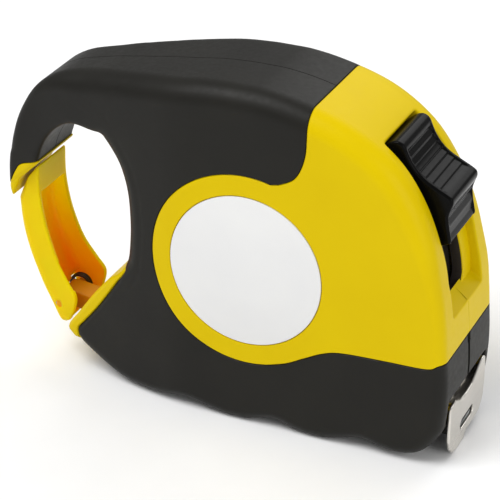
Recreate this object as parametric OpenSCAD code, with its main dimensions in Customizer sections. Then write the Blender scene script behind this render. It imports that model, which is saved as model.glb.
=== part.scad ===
// Locking pocket tape measure with a carabiner handle.
// +X points out of the tape mouth, +Y away from the label side and +Z up. The origin is on the
// resting plane, under the middle of the whole outline. Shapes are written about the centre of
// the round label, with outlines as [x, z] pairs, and set_down() puts them on the resting plane.

/* [Case] */
// Thickness of the case over its two flat sides
case_t = 33.8; // [33.4:0.1:35]
// Largest radius on the edges of the case
edge_r = 5; // [4:0.1:5.2]
// Plastic wall under the rubber
wall = 2.2; // [1.8:0.1:2.4]
// Thickness of the rubber over the flat sides
skin = 1.6; // [1.2:0.1:1.8]

/* [Label] */
// Diameter of the round label
label_d = 38.1; // [30:0.1:42]
// Thickness of the label, flush in its recess
label_t = 0.5; // [0.3:0.1:0.8]

/* [Blade] */
// Width of the steel blade
blade_w = 25; // [19:0.5:25.4]
// Height of the cup across the blade
blade_cup = 3.4; // [2:0.1:3.6]
// Thickness of the coated blade as built
blade_gauge = 0.3; // [0.2:0.05:0.4]
// Outer radius of the wound coil
coil_r = 26.3; // [24:0.1:26.4]
// Outer radius of the drum that the blade is wound on
drum_r = 17; // [14:0.5:18]

/* [End hook] */
// Width of the end hook
hook_w = 24.4; // [19:0.2:25]
// Thickness of the hook plate, which is also its play on the rivets
hook_gauge = 1; // [0.8:0.1:1.2]

/* [Lock] */
// Width of the lock button
button_w = 17; // [14:0.5:18]
// Travel of the lock button along its arc, in degrees
lock_travel = 14; // [10:0.5:14]

/* [Gate] */
// How far the gate's sides are set in from the sides of the case
gate_inset = 2.3; // [2:0.1:3]
// Wall of the gate's channel
gate_wall = 1.2; // [1:0.1:1.5]

/* [Fasteners] */
// Shank radius of the case screws
screw_r = 1.4; // [1.2:0.1:1.5]

/* [Hidden] */
$fn = 96;

half = case_t / 2;
label_x = 8.4;
label_z = 41.2;
case_top = 44.8;
big = 200;
black = [0.13, 0.13, 0.12];
yellow = [0.93, 0.82, 0.06];

// Side outline of the case without its arm, anticlockwise, as [x, z] points of a smooth curve.
case_line = [
    [49.2, -29.5], [49.6, -22], [49.2, -13.5], [48.3, -2.5], [46.8, 5.3], [44.3, 15.2],
    [40.2, 24.6], [34.2, 32.6], [25.3, 38.9], [15, 42.6], [3, 44.7], [-10, 44.5], [-20, 43.2],
    [-30, 41.7], [-36, 40.1], [-40.5, 36.5], [-41.5, 31], [-40, 26.8], [-36.9, 22.3], [-34.1, 18],
    [-32.3, 12], [-31.8, 5], [-32, -1], [-32.8, -6.5], [-34.8, -10.4], [-38.2, -13.2],
    [-43, -18.8], [-48, -25.7], [-51.2, -30.2], [-50, -32.2], [-46, -35], [-40.3, -38],
    [-35, -39.9], [-29.5, -40.6], [-23.5, -40.4], [-16, -39.3], [-9, -40.6], [-2, -41.4],
    [6.5, -39.4], [12, -40.6], [18, -41.4], [24, -40.1], [29, -38.8], [34, -39.7], [38.5, -40],
    [43.2, -38.7], [46.6, -35.5], [48.5, -32.4]];
// Outer and inner edge of the carabiner arm, from its root to its tip.
arm_outer = [[-30.5, 41.1], [-36, 40.7], [-42, 39.6], [-51.3, 37.1], [-57.9, 32.7], [-62.6, 25.6],
    [-65.2, 18.6], [-66.5, 11.5], [-66.8, 5]];
arm_inner = [[-34, 24], [-37.8, 25], [-42, 25.4], [-47.5, 25.5], [-51.5, 23.6], [-54.9, 20.2],
    [-57.2, 16.2], [-58.6, 11.9]];
// Half thickness along X: full over the case, thinner towards the arm's tip.
taper = [[-70, 8.6], [-58, 9.3], [-45, 11.6], [-30, 14.7], [-18, half]];
// Radius of the front corners in plan, and of the bottom edges.
front_r = 2.6;
foot_r = 3;

// Yellow faces: the label's round field, the top front and the front down to the mouth.
field_r = 24.3;
field_top = [[15, 60], [15, 38], [14.4, 31], [12.2, 26.2], [8.4, 23.9]];
field_low = [[5.2, -23.8], [10.4, -22.1], [15, -19.6], [20, -17], [25, -15.8], [35, -15.3],
    [45, -14.9], [49, -13.3], [60, -13]];
// Bare plastic at the gate's hinge, and at the arm's nose, where the rubber stops.
hinge_bare = [[-40, -7], [-33.4, -8.9], [-35.6, -12.8], [-41.4, -21.2], [-46.4, -27.5],
    [-48.2, -30], [-47.6, -33.8], [-56, -36], [-60, -7]];
nose_bare = [[-70, 4.6], [-66.6, 5.2], [-64.4, 9.6], [-62.6, 11.4], [-58, 12.7], [-50, 15],
    [-50, -5], [-70, -5]];
// Nose of the arm, which laps over the gate's free end.
nose_line = [[-66.6, 5.2], [-66, 2], [-65.3, 3.6], [-63.8, 6.8], [-61.2, 9.4], [-58, 12.7],
    [-62.6, 11.4], [-64.4, 9.6]];

// Gate: outer and inner edge of its side walls from the hinge end to the free end.
gate_outer = [[-53.6, -31.5], [-55.4, -30.9], [-57.8, -26.6], [-59.9, -22.8], [-61.6, -18.8],
    [-63.2, -14.6], [-64.6, -9.6], [-65.4, -4.6], [-65.7, 0.6]];
gate_tip = [[-64.6, 3.2], [-63.4, 5.8], [-59.8, 10.2]];
gate_inner = [[-59.3, 10.1], [-59.4, 3], [-58.5, -4], [-56.9, -10], [-54.9, -15], [-52, -19.6],
    [-49.8, -23.2], [-50.5, -27.4], [-51.9, -30.1]];
pin_x = -55.2;
pin_z = -26.6;
pin_r = 1.1;
gate_pin_half = 7.1;
running = 0.05;
tongue_half = 3;
eye_r = 2;
eye_clear = 0.3;
spring_wire_r = 0.25;
spring_turn_r = pin_r + spring_wire_r + 0.1;
spring_room_r = spring_turn_r + spring_wire_r + 0.15;

// Reel: one axis across the case.
reel_x = 4.5;
reel_z = 0.5;
axle_r = 4;
room_half = half - skin - 1.5;
flange_t = 0.7;
flange_r = coil_r + 0.2;
coil_half = blade_w / 2;
drum_wall = 1.7;
reel_bore_r = axle_r + running;
// The cupped blade runs level under the coil, out of the mouth.
blade_z = -29.8;
blade_curve_r = (coil_half * coil_half + blade_cup * blade_cup) / (2 * blade_cup);
lead_back = -16;
lead_front = 48.8;
rivet_x = 45.4;
rivet_y = 4.2;
rivet_r = 1.3;
hook_x = 49;
hook_low = -41;

// Lock: everything turns about one centre.
arc_x = 0;
arc_z = -4;
floor_r = 44.2;
floor_in_r = 42.8;
track_half = 9.75;
track_low = -0.6;
track_high = 52.4;
slot_half = 4.5;
stem_half = 2.6;
button_low = 20.2;
button_high = 51.5;
strip_r = 40.9;
strip_low = -21;

// Case screws, driven from the side without the label.
screw_at = [[-24, 33], [18.6, 36], [-28.5, -31], [38.5, -35.2]];
boss_r = 3;
head_r = 2.5;
head_seat = 8.2;

function curve_point(a, b, c, d, t) = 0.5 * (2 * b + (c - a) * t
    + (2 * a - 5 * b + 4 * c - d) * t * t + (3 * b - a - 3 * c + d) * t * t * t);
function closed_curve(pts, n) = let (c = len(pts))
    [for (i = [0:c - 1], k = [0:n - 1])
        curve_point(pts[(i + c - 1) % c], pts[i], pts[(i + 1) % c], pts[(i + 2) % c], k / n)];
function open_curve(pts, n) = let (e = len(pts) - 1)
    [for (i = [0:e - 1], k = [0:n - 1])
        curve_point(pts[max(i - 1, 0)], pts[i], pts[i + 1], pts[min(i + 2, e)], k / n), pts[e]];
function backwards(pts) = [for (i = [len(pts) - 1:-1:0]) pts[i]];

case_curve = closed_curve(case_line, 3);
arm_curve_out = open_curve(arm_outer, 3);
arm_curve_in = open_curve(arm_inner, 3);

module set_down() {
    translate([label_x, 0, label_z]) children();
}

// Extrudes an [x, z] shape across the case, from y0 to y1.
module across(y0, y1) {
    translate([0, y1, 0]) rotate([90, 0, 0]) linear_extrude(y1 - y0) children();
}

// Cylinder across the case on the axis through [x, z].
module rod(x, z, r, y0, y1) {
    translate([x, y1, z]) rotate([90, 0, 0]) cylinder(h = y1 - y0, r = r);
}

// Plan shape of the label-side half: the seam, the tapered side and the front corner.
module plan_half(inset, clear) {
    flat_y = inset - half - clear;
    translate([0, 0, -big / 2]) linear_extrude(big)
        polygon(concat([[-70, 0]], [for (p = taper) [p[0], inset - p[1]]], [[-17, flat_y]],
            [[50 - front_r, flat_y]],
            [for (a = [0:22.5:90]) [50 - front_r * (1 - sin(a)), front_r * (1 - cos(a)) - half]],
            [[50, 0]]));
}

// Front view of the label-side half, with rounded top and bottom edges.
module front_half() {
    top = case_top;
    rotate([90, 0, 90]) linear_extrude(big, center = true)
        polygon(concat([[1, top]],
            [for (a = [90:-15:0])
                [edge_r - half - edge_r * cos(a), top - edge_r * (1 - sin(a))]],
            [for (a = [0:15:90])
                [foot_r - half - foot_r * cos(a), foot_r * (1 - sin(a)) - label_z]],
            [[1, -label_z]]));
}

// Outside of the label-side half, rubber included.
module outer_half() {
    intersection() {
        across(-half - 2, 2) silhouette();
        plan_half(0, 1);
        front_half();
    }
}

module silhouette() {
    polygon(case_curve);
    polygon(concat(arm_curve_out, backwards(arm_curve_in)));
}

module field_shape() {
    circle(field_r);
    polygon(concat(open_curve(field_top, 3),
        [for (a = [100:40:260]) field_r * 0.9 * [cos(a), sin(a)]],
        open_curve(field_low, 3), [[60, 60]]));
}

// Plastic core that the rubber is moulded on, label side.
module core_half() {
    intersection() {
        across(-half, 1) {
            offset(delta = -skin - 1) silhouette();
            intersection() {
                offset(delta = -0.4) silhouette();
                polygon(hinge_bare);
            }
        }
        plan_half(skin, 0);
    }
}

// Everything but the yellow faces, as a tool that stops at the core.
module bare_tool() {
    difference() {
        across(-half - 2, 2) difference() {
            square(big, center = true);
            field_shape();
        }
        core_half();
    }
}

// Room for the reel, blade and lock strip.
module room() {
    difference() {
        across(-room_half, room_half) intersection() {
            offset(delta = -skin - 1 - wall) polygon(case_curve);
            translate([-29.2, -60]) square(120);
        }
        track_block();
    }
}

// Sector of a round ring about the lock's axis, between two radii and two angles, 2 * side wide.
module sector(r0, r1, a0, a1, side) {
    reach = 2 * r1;
    intersection() {
        difference() {
            rod(arc_x, arc_z, r1, -side, side);
            rod(arc_x, arc_z, r0, -side - 1, side + 1);
        }
        across(-side - 1, side + 1) translate([arc_x, arc_z]) polygon(concat(
            [[0, 0]], [for (a = [a0, (a0 + a1) / 2, a1]) reach * [cos(a), sin(a)]]));
    }
}

// Wall that carries the lock button's track.
module track_block() {
    sector(floor_in_r, 60, track_low - 3, track_high + 3, track_half + 1.8);
}

module track_cut() {
    sector(floor_r, 60, track_low, track_high, track_half);
    sector(floor_in_r - 2, floor_r + 1, 1, track_high - 3, slot_half);
}

module mouth_cut() {
    translate([38, -blade_w / 2 - 0.5, blade_z - 1.2])
        cube([20, blade_w + 1, blade_cup + blade_gauge + 2.6]);
}

module boss(at) {
    rod(at[0], at[1], boss_r, -room_half - 0.5, 0);
}

// Tongue between the gate's walls, with the hinge pin's eye.
module tongue() {
    difference() {
        across(-tongue_half, 0) hull() {
            translate([pin_x, pin_z]) circle(eye_r);
            translate([-46, -28.4]) circle(1.8);
        }
        rod(pin_x, pin_z, pin_r, -20, 20);
    }
}

// Plastic half of the case on the label side, before its own holes.
module case_half() {
    difference() {
        union() {
            difference() {
                outer_half();
                bare_tool();
                room();
            }
            nose();
            nose_root();
            for (at = screw_at) boss(at);
            tongue();
            rod(reel_x, reel_z, axle_r + 2, -room_half - 0.4, -room_half + 0.2);
        }
        track_cut();
        mouth_cut();
        bumper_block();
        rod(reel_x, reel_z, axle_r, -room_half - 1.2, 1);
    }
}

module nose() {
    intersection() {
        across(-half, 0) polygon(nose_line);
        plan_half(0.3, 0);
    }
}

// Web inside the rubber that joins the nose to the arm's core.
module nose_root() {
    across(-6, 0) polygon([[-64.2, 8.8], [-63.2, 14], [-60.8, 14.4], [-60.6, 10.8]]);
}

module grip_half() {
    difference() {
        intersection() {
            outer_half();
            across(-half - 1, 1) difference() {
                square(big, center = true);
                field_shape();
                polygon(hinge_bare);
                polygon(nose_bare);
            }
        }
        core_half();
        nose_root();
        tongue();
        mouth_cut();
        bumper_block();
        for (at = screw_at) boss(at);
    }
}

module case_left() {
    color(yellow) set_down() difference() {
        case_half();
        rod(0, 0, label_d / 2, -half - 1, -half + label_t);
        for (at = screw_at) rod(at[0], at[1], screw_r, -10, 1);
    }
}

module case_right() {
    color(yellow) set_down() difference() {
        mirror([0, 1, 0]) case_half();
        screw_holes();
    }
}

module screw_holes() {
    for (at = screw_at) {
        rod(at[0], at[1], screw_r + 0.2, -1, 20);
        rod(at[0], at[1], head_r + 0.3, head_seat, 20);
    }
}

module grip_left() {
    color(black) set_down() grip_half();
}

module grip_right() {
    color(black) set_down() difference() {
        mirror([0, 1, 0]) grip_half();
        screw_holes();
    }
}

module label_disc() {
    color("white") set_down() rod(0, 0, label_d / 2, -half, -half + label_t);
}

module case_screws() {
    color("dimgray") set_down() for (at = screw_at) difference() {
        union() {
            rod(at[0], at[1], screw_r, -9, head_seat);
            rod(at[0], at[1], head_r, head_seat, head_seat + 1.8);
        }
        translate([at[0], head_seat + 1.8, at[1]]) {
            cube([3.2, 1.6, 0.7], center = true);
            cube([0.7, 1.6, 3.2], center = true);
        }
    }
}

module reel_axle() {
    color("dimgray") set_down() difference() {
        rod(reel_x, reel_z, axle_r, -room_half - 1.2, room_half + 1.2);
        translate([reel_x - 0.4, -room_half + 2, reel_z]) cube([0.8, 2 * room_half - 4, 10]);
    }
}

module reel_drum() {
    color("gainsboro") set_down() difference() {
        union() {
            rod(reel_x, reel_z, drum_r, -coil_half - flange_t, coil_half);
            rod(reel_x, reel_z, flange_r, -coil_half - flange_t, -coil_half);
        }
        rod(reel_x, reel_z, drum_r - drum_wall, -coil_half + 0.8, coil_half + 1);
        rod(reel_x, reel_z, reel_bore_r, -20, 20);
    }
}

module reel_cover() {
    color("gainsboro") set_down() difference() {
        rod(reel_x, reel_z, flange_r, coil_half, coil_half + flange_t);
        rod(reel_x, reel_z, reel_bore_r, -20, 20);
    }
}

// Spring strip wound from the axle to the drum, with its inner end turned into the axle's slot.
module power_spring() {
    turns = 6.25;
    strip = 0.35;
    in_r = axle_r + 0.6;
    out_r = drum_r - drum_wall - strip - 0.25;
    arc = [for (i = [1:turns * 20]) i * 18];
    pitch = (out_r - in_r) / (360 * turns);
    hub = [[0.2, in_r], [0.2, 1.3], [-0.15, 1.3], [-0.15, in_r + strip]];
    function at(a, d) = (in_r + pitch * a + d) * [sin(a), cos(a)];
    color("slategray") set_down() across(-coil_half + 1.4, coil_half - 1.1)
        translate([reel_x, reel_z]) polygon(concat(hub, [for (a = arc) at(a, strip)],
            backwards([for (a = arc) at(a, 0)])));
}

module blade_coil() {
    color("gold") set_down() difference() {
        rod(reel_x, reel_z, coil_r, -coil_half, coil_half);
        rod(reel_x, reel_z, drum_r, -20, 20);
    }
}

// Trough section about the blade's middle line, from x0 to x1, between two depths below it.
module trough(x0, x1, width, d0, d1) {
    translate([x0, 0, blade_z]) intersection() {
        translate([0, 0, blade_curve_r]) rotate([0, 90, 0]) difference() {
            cylinder(h = x1 - x0, r = blade_curve_r + d1);
            translate([0, 0, -1]) cylinder(h = x1 - x0 + 2, r = blade_curve_r + d0);
        }
        translate([0, -width / 2, -3]) cube([x1 - x0, width, 9]);
    }
}

module rivet_holes(r) {
    for (y = [-rivet_y, rivet_y])
        translate([rivet_x, y, blade_z - 5]) cylinder(h = 12, r = r);
}

module blade_lead() {
    color("gold") set_down() difference() {
        trough(lead_back, lead_front, blade_w, 0, blade_gauge);
        rivet_holes(rivet_r);
    }
}

// Low friction plate under the blade, where the lock's shoe presses.
module blade_guide() {
    color("black") set_down() difference() {
        translate([28, -room_half, -33]) cube([6.5, 2 * room_half, 4.4]);
        translate([20, 0, blade_z + blade_curve_r]) rotate([0, 90, 0])
            cylinder(h = 20, r = blade_curve_r + blade_gauge + 0.15);
    }
}

module bumper_block() {
    translate([45.4, -7, -37.5]) cube([3.3, 14, 4.6]);
}

// Rubber block that takes the knock of the returning hook.
module hook_bumper() {
    color(black) set_down() bumper_block();
}

module end_hook() {
    tongue_back = 40.2;
    ear_z = -25.4;
    color("silver") set_down() difference() {
        union() {
            trough(tongue_back, hook_x + 0.3, 15, blade_gauge, blade_gauge + hook_gauge - 0.3);
            translate([hook_x, 0, 0]) rotate([90, 0, 90]) linear_extrude(hook_gauge) difference() {
                hull() {
                    for (s = [-1, 1]) {
                        translate([s * (hook_w / 2 - 4), hook_low + 4]) circle(4);
                        translate([s * (hook_w / 2 - 0.8), ear_z - 0.8]) circle(0.8);
                    }
                }
                translate([0, ear_z + 19.4]) circle(23);
                translate([-3.2, -36]) circle(1.35);
                translate([3.2, -36]) circle(1.35);
                translate([-3.2, -37.35]) square([6.4, 2.7]);
            }
        }
        for (y = [-rivet_y, rivet_y]) hull() {
            for (dx = [-hook_gauge, 0]) translate([rivet_x + dx, y, blade_z - 5])
                cylinder(h = 12, r = rivet_r + running, $fn = 32);
        }
    }
}

module hook_rivets() {
    color("silver") set_down() for (y = [-rivet_y, rivet_y]) {
        translate([rivet_x, y, blade_z - 1.2]) cylinder(h = 2.4, r = rivet_r);
        translate([rivet_x, y, blade_z + 0.9]) cylinder(h = 0.7, r = rivet_r + 0.9);
    }
}

// Outline of the thumb button over the track, as radius and angle about the lock's centre.
module lock_button() {
    sole_r = floor_r + 0.25;
    function at(r, a) = [arc_x, arc_z] + r * [cos(a), sin(a)];
    lips = [[47.2, button_low], [49.6, button_low + 0.3], [50.1, 23], [50.6, 25.5], [51.6, 28],
        [53, 29.2], [54, 30.6], [54.1, 31.8], [53.3, 33.4], [51.8, 36.5], [50.6, 40], [50.5, 43],
        [51.2, 46.8], [52.1, 49.2], [52, 50.2], [50, button_high], [47.2, button_high]];
    color(black) set_down() {
        sector(sole_r, 47.6, button_low, button_high, button_w / 2);
        across(-button_w / 2, button_w / 2) polygon(concat([for (p = lips) at(p[0], p[1])],
            [for (a = [button_high:-6:button_low]) at(sole_r + 1, a)]));
        button_stem(sole_r + 1);
    }
}

// Web of the button through the slot into the strip.
module button_stem(top_r) {
    sector(strip_r + 0.4, top_r, 22, 46, stem_half);
}

module lock_strip() {
    color("dimgray") set_down() difference() {
        sector(strip_r, strip_r + 1.4, strip_low, 46.5, 5);
        button_stem(floor_r);
    }
}

// Rubber shoe at the strip's lower end, which presses on the blade.
module lock_shoe() {
    color(black) set_down() sector(38.6, strip_r + 1.4, strip_low - 1.6, strip_low, 3.5);
}

module gate_profile() {
    polygon(concat(open_curve(gate_outer, 3), gate_tip, open_curve(gate_inner, 3)));
}

// Space that the tongue sweeps inside the gate, from shut to open.
module tongue_sweep() {
    across(-tongue_half - 0.4, tongue_half + 0.4) hull() {
        for (at = [[pin_x, pin_z], [-44, -28.9], [-45, -23.5]])
            translate(at) circle(eye_r + eye_clear);
    }
}

// Plan shape between the tapered sides of the case, both set in.
module gate_plan(inset) {
    side = [for (p = taper) if (p[0] < -40) [p[0], p[1] - inset]];
    translate([0, 0, -big / 2]) linear_extrude(big)
        polygon(concat(side, backwards([for (p = side) [p[0], -p[1]]])));
}

module carabiner_gate() {
    block_low = 3;
    color(yellow) set_down() difference() {
        intersection() {
            across(-half, half) gate_profile();
            gate_plan(gate_inset);
        }
        intersection() {
            across(-half, half) intersection() {
                union() {
                    offset(delta = -1.8) gate_profile();
                    translate([2, 0.6]) gate_profile();
                }
                translate([-80, block_low - 60]) square(60);
            }
            gate_plan(gate_inset + gate_wall);
        }
        tongue_sweep();
        rod(pin_x, pin_z, spring_room_r, tongue_half, gate_pin_half - 1.1);
        rod(pin_x, pin_z, pin_r + running, -20, 20);
    }
}

module gate_pin() {
    color("silver") set_down() rod(pin_x, pin_z, pin_r, -gate_pin_half, gate_pin_half);
}

// Torsion spring on the pin, beside the tongue, with one leg in the gate and one on the tongue.
module gate_spring() {
    near_y = tongue_half + 0.6 + spring_wire_r;
    color("dimgray") set_down() {
        for (i = [0:3]) translate([pin_x, near_y + i * 0.4, pin_z])
            rotate([90, 0, 0]) rotate_extrude($fn = 48)
                translate([spring_turn_r, 0]) circle(spring_wire_r, $fn = 32);
        translate([pin_x + spring_turn_r, near_y, pin_z])
            cylinder(h = 7, r = spring_wire_r, $fn = 32);
    }
}

case_left();
case_right();
grip_left();
grip_right();
label_disc();
case_screws();
reel_axle();
reel_drum();
reel_cover();
power_spring();
blade_coil();
blade_lead();
blade_guide();
hook_bumper();
end_hook();
hook_rivets();
lock_button();
lock_strip();
lock_shoe();
carabiner_gate();
gate_pin();
gate_spring();
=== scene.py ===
"""Looks of the locking tape measure with its carabiner handle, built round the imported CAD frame.

Shapes are written in millimetres about the centre of the round label, as in the CAD: +X points
out of the mouth, +Y away from the label side, +Z up, and an outline is a list of [x, z] points.
"""
import math

import bpy
import numpy as np
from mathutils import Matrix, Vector
from mathutils.geometry import tessellate_polygon


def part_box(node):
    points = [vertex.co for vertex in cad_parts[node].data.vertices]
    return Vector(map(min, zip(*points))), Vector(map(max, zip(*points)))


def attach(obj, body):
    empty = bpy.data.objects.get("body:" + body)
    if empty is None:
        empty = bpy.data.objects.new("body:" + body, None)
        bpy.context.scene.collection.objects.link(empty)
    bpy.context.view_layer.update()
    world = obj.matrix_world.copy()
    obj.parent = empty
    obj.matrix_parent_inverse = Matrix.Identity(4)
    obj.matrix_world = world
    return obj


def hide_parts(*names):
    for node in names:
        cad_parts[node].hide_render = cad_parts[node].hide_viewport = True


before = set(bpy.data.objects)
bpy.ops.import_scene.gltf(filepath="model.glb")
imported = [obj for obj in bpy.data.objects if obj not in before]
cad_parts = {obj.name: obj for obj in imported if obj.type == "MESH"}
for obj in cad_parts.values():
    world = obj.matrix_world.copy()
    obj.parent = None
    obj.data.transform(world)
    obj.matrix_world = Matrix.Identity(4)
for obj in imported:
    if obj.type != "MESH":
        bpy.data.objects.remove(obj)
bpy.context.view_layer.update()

MM = 0.001
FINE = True

# ---------------------------------------------------------------- dimensions
label_low, label_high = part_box("label_disc")
LABEL = np.array([(label_low.x + label_high.x) / 2, 0, (label_low.z + label_high.z) / 2])
LABEL_R = (label_high.x - label_low.x) / 2 / MM
LABEL_T = (label_high.y - label_low.y) / MM
HALF = -label_low.y / MM
GROUND = -LABEL[2] / MM
# Highest and rearmost point of the CAD case, where the outlines below are cut off.
TOP = 44.77
REAR = -66.78

CASE_LINE = [
    [49.2, -29.5], [49.6, -22], [49.2, -13.5], [48.3, -2.5], [46.8, 5.3], [44.3, 15.2],
    [40.2, 24.6], [34.2, 32.6], [25.3, 38.9], [15, 42.6], [3, 44.7], [-10, 44.5], [-20, 43.2],
    [-30, 41.7], [-36, 40.1], [-40.5, 36.5], [-41.5, 31], [-40, 26.8], [-36.9, 22.3],
    [-34.1, 18], [-32.3, 12], [-31.8, 5], [-32, -1], [-32.8, -6.5], [-34.8, -10.4],
    [-38.2, -13.2], [-43, -18.8], [-48, -25.7], [-51.2, -30.2], [-50, -32.2],
    [-46, -35], [-40.3, -38], [-35, -39.9], [-29.5, -40.6], [-23.5, -40.4], [-16, -39.3],
    [-9, -40.6], [-2, -41.4], [6.5, -39.4], [12, -40.6], [18, -41.4], [24, -40.1],
    [29, -38.8], [34, -39.7], [38.5, -40], [43.2, -38.7], [46.6, -35.5], [48.5, -32.4]]
ARM_OUTER = [[-30.5, 41.1], [-36, 40.7], [-42, 39.6], [-51.3, 37.1], [-57.9, 32.7],
             [-62.6, 25.6], [-65.2, 18.6], [-66.5, 11.5], [-66.8, 5.2]]
ARM_INNER = [[-34, 24], [-37.8, 25], [-42, 25.4], [-47.5, 25.5], [-51.5, 23.6],
             [-54.9, 20.2], [-57.2, 16.2], [-58.6, 11.9]]
ARM_TIP = [[-65.9, 5]]
# Half width of the case at each x: the arm is slimmer than the body.
TAPER = [[-70, 8.6], [-58, 9.3], [-45, 11.6], [-30, 14.7], [-18, HALF], [60, HALF]]

# Yellow faces that the rubber leaves bare.
FIELD_R = 24.3
FIELD_TOP = [[15, 60], [15, 38], [14.4, 31], [12.2, 26.2], [8.4, 23.9]]
FIELD_LOW = [[5.2, -23.8], [10.4, -22.1], [15, -19.6], [20, -17], [25, -15.8], [35, -15.3],
             [45, -14.9], [49, -13.3], [60, -13]]
HINGE_BARE = [[-40, -7], [-33.4, -8.9], [-35.6, -12.8], [-41.4, -21.2], [-46.4, -27.5],
              [-48.2, -30], [-47.6, -33.8], [-56, -36], [-60, -7]]
NOSE_BARE = [[-70, 4.6], [-66.6, 5.2], [-64.4, 9.6], [-62.6, 11.4], [-58, 12.7], [-50, 15],
             [-50, -5], [-70, -5]]
NOSE_LINE = [[-66.6, 5.2], [-66, 2], [-65.3, 3.6], [-63.8, 6.8], [-61.2, 9.4], [-58, 12.7],
             [-62.6, 11.4], [-64.4, 9.6]]

GATE_OUTER = [[-53.6, -31.5], [-55.4, -30.9], [-57.8, -26.6], [-59.9, -22.8],
              [-61.6, -18.8], [-63.2, -14.6], [-64.6, -9.6], [-65.4, -4.6], [-65.7, 0.6]]
GATE_TIP = [[-64.6, 3.2], [-63.4, 5.8], [-59.8, 10.2]]
GATE_INNER = [[-59.3, 10.1], [-59.4, 3], [-58.5, -4], [-56.9, -10], [-54.9, -15],
              [-52, -19.6], [-49.8, -23.2], [-50.5, -27.4], [-51.9, -30.1]]
PIN = np.array([-55.2, -26.6])
GATE_INSET = 2.3
GATE_WALL = 1.2
GATE_BACK = 1.8
TONGUE_HALF = 3.0
TONGUE_ROOT = np.array([-46.0, -28.2])

# Axis of the lock, and the track that the button slides in.
ARC = np.array([0.0, -4.0])
FLOOR_R = 44.2
PLATE_R = 42.8
TRACK_HALF = 9.75
TRACK_LOW = math.radians(-0.6)
TRACK_HIGH = math.radians(52.4)
SLOT_HALF = 4.7
FLOOR_TOP_R = 45.6
BUTTON_HALF = 8.5
# Side outline of the button, as radius and degrees about the lock's axis.
BUTTON_LINE = [
    [47.2, 20.3], [48.6, 20.4], [49.6, 20.7], [50.0, 22.5], [50.5, 25], [51.4, 27.6],
    [52.8, 29.2], [53.8, 30.2], [54.2, 31.4], [53.6, 32.9], [52.2, 35.6], [51, 38.5],
    [50.5, 41.3], [50.7, 44], [51.4, 46.4], [52.1, 48.2], [52.1, 49.6], [51.5, 50.7],
    [50, 51.6], [47.2, 52.2]]

BLADE_Z = -29.8
BLADE_HALF = 12.5
BLADE_CURVE_R = 24.68
HOOK_X = 49.0
MOUTH_HALF = 13
MOUTH_LOW = -31.0
MOUTH_HIGH = -24.7
MOUTH_BACK = 34
SCREWS = [[-24, 33], [18.6, 36], [-28.5, -31], [38.5, -35.2]]
SCREW_HOLE_R = 2.8
SCREW_SEAT = 8.3

SKIN = 1.5
INNER = 2.5
GROOVE_HALF = 0.22
GROOVE_DEPTH = 0.32
SEAM_HALF = 0.12
SEAM_SLOT_DEPTH = 1.3
LABEL_GAP = 0.12
HALF_STEP = 0.6 if FINE else 1.0


# ---------------------------------------------------------------- curves and distances
def curve(points, steps=6, closed=False):
    """Smooth curve through the points (Catmull-Rom)."""
    pts = np.array(points, float)
    if closed:
        pts = np.vstack([pts[-1:], pts, pts[:2]])
    else:
        pts = np.vstack([pts[:1], pts, pts[-1:]])
    out = []
    for a, b, c, d in zip(pts, pts[1:], pts[2:], pts[3:]):
        for t in np.arange(steps) / steps:
            out.append(0.5 * (2 * b + (c - a) * t + (2 * a - 5 * b + 4 * c - d) * t * t
                              + (3 * b - a - 3 * c + d) * t ** 3))
    if not closed:
        out.append(pts[-1])
    return np.array(out)


def outline_distance(points, outline):
    """Distance from each point to a closed outline, below zero inside."""
    nearest = np.full(len(points), np.inf)
    inside = np.zeros(len(points), bool)
    for a, b in zip(outline, np.roll(outline, -1, axis=0)):
        side = b - a
        length = side @ side
        if length < 1e-12:
            continue
        off = points - a
        t = np.clip(off @ side / length, 0, 1)
        nearest = np.minimum(nearest, ((off - t[:, None] * side) ** 2).sum(1))
        above = (a[1] > points[:, 1]) != (b[1] > points[:, 1])
        if a[1] != b[1]:
            cross = points[:, 0] < a[0] + (points[:, 1] - a[1]) * side[0] / side[1]
            inside ^= above & cross
    return np.where(inside, -1, 1) * np.sqrt(nearest)


class Chart:
    """The distance to an outline, worked out once on a fine grid and read back between its points."""

    def __init__(self, outline, step=0.25, margin=6.0):
        outline = np.array(outline, float)
        self.step = step
        self.low = outline.min(0) - margin
        count = np.ceil((outline.max(0) + margin - self.low) / step).astype(int) + 1
        u = self.low[0] + step * np.arange(count[0])
        v = self.low[1] + step * np.arange(count[1])
        grid = np.stack(np.meshgrid(u, v, indexing="ij"), -1).reshape(-1, 2)
        self.value = outline_distance(grid, outline).reshape(count)

    def __call__(self, u, v):
        size = np.array(self.value.shape) - 1.001
        a = np.clip((u - self.low[0]) / self.step, 0, size[0])
        b = np.clip((v - self.low[1]) / self.step, 0, size[1])
        i, j = a.astype(int), b.astype(int)
        a, b = a - i, b - j
        grid = self.value
        inner = (1 - b) * grid[i, j] + b * grid[i, j + 1]
        outer = (1 - b) * grid[i + 1, j] + b * grid[i + 1, j + 1]
        return (1 - a) * inner + a * outer


def smooth_min(a, b, k):
    """The lower of two distances, with the corner between them filled to about k."""
    h = np.clip(0.5 + 0.5 * (b - a) / k, 0, 1)
    return b + (a - b) * h - k * h * (1 - h)


def smooth_max(a, b, k):
    """The higher of two distances, with the corner between them rounded to about k."""
    return -smooth_min(-a, -b, k)


def ramp(value, start, end):
    """0 at start, 1 at end, with a soft change between."""
    t = np.clip((value - start) / (end - start), 0, 1)
    return t * t * (3 - 2 * t)


def slab(flat, across, radius):
    """Distance to a flat shape given thickness, with its edges rounded to the radius."""
    a, b = flat + radius, across + radius
    outside = np.hypot(np.maximum(a, 0), np.maximum(b, 0))
    return np.minimum(np.maximum(a, b), 0) + outside - radius


def block(u, v, half_u, half_v, radius):
    """Distance to a rectangle with round corners, about its own centre."""
    return slab(np.abs(u) - half_u, np.abs(v) - half_v, radius)


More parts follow.
